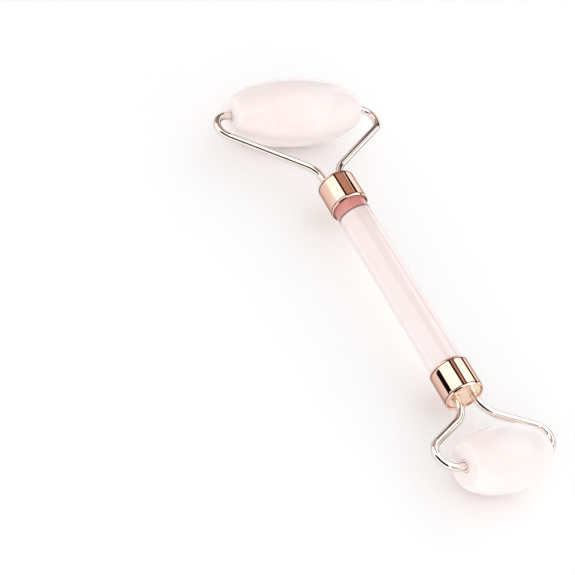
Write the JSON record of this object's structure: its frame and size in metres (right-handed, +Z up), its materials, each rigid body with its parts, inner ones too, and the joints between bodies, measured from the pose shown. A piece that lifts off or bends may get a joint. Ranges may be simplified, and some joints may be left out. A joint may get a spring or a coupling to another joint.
{
  "type": "face roller",
  "caption": "Double-ended face roller: a stone handle with a polished metal collar and wire fork on each end, carrying a long barrel roller at one end and a short one at the other.",
  "frame": {"origin": "on the floor, under the middle of the bounding box; the part lies on both of its rollers", "axes": "+X along the handle from the large roller to the small one, +Y along both roller axes, +Z up from the floor"},
  "size_m": [0.1472, 0.0558, 0.0202],
  "materials": {
    "rose_quartz": "polished pale pink translucent stone with faint cloudy veins",
    "rose_gold": "mirror-polished rose-gold plating",
    "bush_nylon": "pink-tinted natural nylon, slightly translucent",
    "bonding_resin": "cured coral-tinted epoxy"
  },
  "bodies": {
    "handle": {"handle_stone": "rose_quartz", "large_end_collar": "rose_gold", "large_end_plug": "rose_gold", "large_end_resin": "bonding_resin", "large_fork_arm_left": "rose_gold", "large_fork_arm_right": "rose_gold", "small_end_collar": "rose_gold", "small_end_plug": "rose_gold", "small_end_resin": "bonding_resin", "small_fork_arm_left": "rose_gold", "small_fork_arm_right": "rose_gold"},
    "large_roller": {"large_roller_stone": "rose_quartz", "large_roller_bush_left": "bush_nylon", "large_roller_bush_right": "bush_nylon"},
    "small_roller": {"small_roller_stone": "rose_quartz", "small_roller_bush_left": "bush_nylon", "small_roller_bush_right": "bush_nylon"}
  },
  "joints": [
    {"name": "large_roller_spin", "type": "hinge", "parent": "handle", "child": "large_roller", "pos_m": [-0.0635, 0, 0.0101], "axis": [0, 1, 0], "continuous": true},
    {"name": "small_roller_spin", "type": "hinge", "parent": "handle", "child": "small_roller", "pos_m": [0.0647, 0, 0.0089], "axis": [0, 1, 0], "continuous": true}
  ]
}
